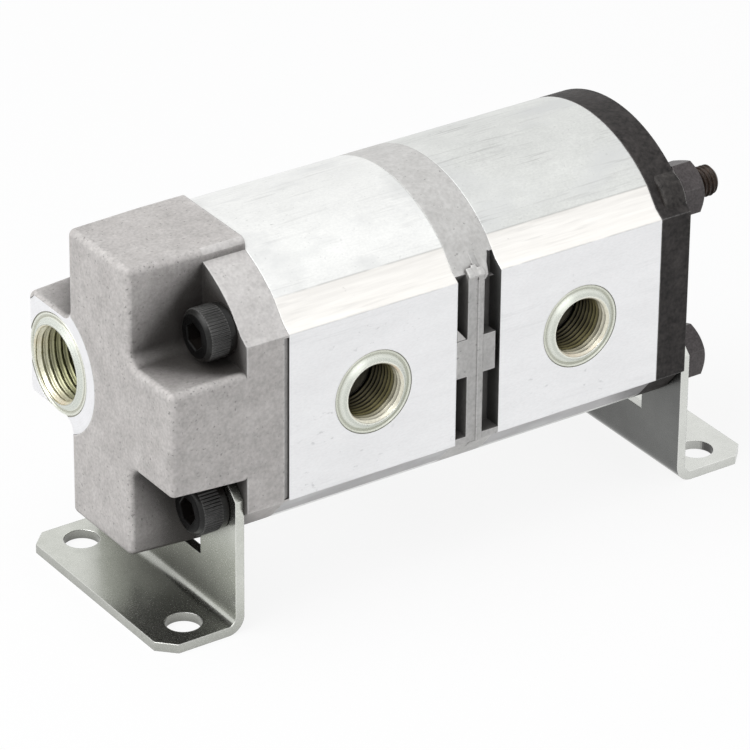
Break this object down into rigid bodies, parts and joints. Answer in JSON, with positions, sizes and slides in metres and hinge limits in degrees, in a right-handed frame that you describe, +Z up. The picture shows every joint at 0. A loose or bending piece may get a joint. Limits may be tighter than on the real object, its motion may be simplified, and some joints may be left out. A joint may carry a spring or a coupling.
{
  "type": "rotary gear flow divider",
  "caption": "Rotary gear flow divider: cast cross-shaped inlet cover, machined gear sections with side outlet ports, and bent foot brackets, clamped by long bolts.",
  "frame": {"origin": "centre of the four foot holes, on the mounting plane under the foot brackets", "axes": "+X runs along the shafts from the inlet end to the rear cover, the outlet ports face -Y, +Z is up from the mounting plane"},
  "size_m": [0.1756, 0.0674, 0.0952],
  "materials": {
    "cast_aluminium": "sand cast, tumbled",
    "machined_aluminium": "extruded and milled",
    "black_iron": "blackened casting",
    "zinc_steel": "zinc-plated sheet",
    "black_steel": "black oxide",
    "dark_nut_steel": "phosphated",
    "gear_steel": "hardened and ground",
    "bush_alloy": "die cast, turned",
    "bearing_bronze": "rolled bronze-backed sleeve",
    "seal_rubber": "moulded nitrile"
  },
  "bodies": {
    "housing": {"inlet_cover": "cast_aluminium", "middle_flange": "cast_aluminium", "rear_cover": "black_iron", "section_body_1": "machined_aluminium", "section_body_2": "machined_aluminium", "front_bush_1": "bush_alloy", "rear_bush_1": "bush_alloy", "front_bush_2": "bush_alloy", "rear_bush_2": "bush_alloy", "bush_seals_1": "seal_rubber", "bush_seals_2": "seal_rubber", "bearing_sleeves_1": "bearing_bronze", "bearing_sleeves_2": "bearing_bronze", "joint_seal_1": "seal_rubber", "joint_seal_2": "seal_rubber", "joint_seal_3": "seal_rubber", "joint_seal_4": "seal_rubber", "front_bracket": "zinc_steel", "rear_bracket": "zinc_steel", "tie_bolts": "black_steel", "tie_nuts": "dark_nut_steel", "dowel_pins": "gear_steel"},
    "drive_line": {"drive_gear_1": "gear_steel", "shaft_coupling": "gear_steel", "drive_gear_2": "gear_steel"},
    "driven_1": {"driven_gear_1": "gear_steel"},
    "driven_2": {"driven_gear_2": "gear_steel"}
  },
  "joints": [
    {"name": "drive_spin", "type": "hinge", "parent": "housing", "child": "drive_line", "pos_m": [0, 0, 0.0685], "axis": [1, 0, 0], "continuous": true},
    {"name": "driven_1_spin", "type": "hinge", "parent": "housing", "child": "driven_1", "pos_m": [-0.02902, 0, 0.0425], "axis": [1, 0, 0], "continuous": true},
    {"name": "driven_2_spin", "type": "hinge", "parent": "housing", "child": "driven_2", "pos_m": [0.03177, 0, 0.0425], "axis": [1, 0, 0], "continuous": true}
  ],
  "couplings": [
    {"joint": "driven_1_spin", "follows": "drive_spin", "ratio": -1},
    {"joint": "driven_2_spin", "follows": "drive_spin", "ratio": -1}
  ]
}
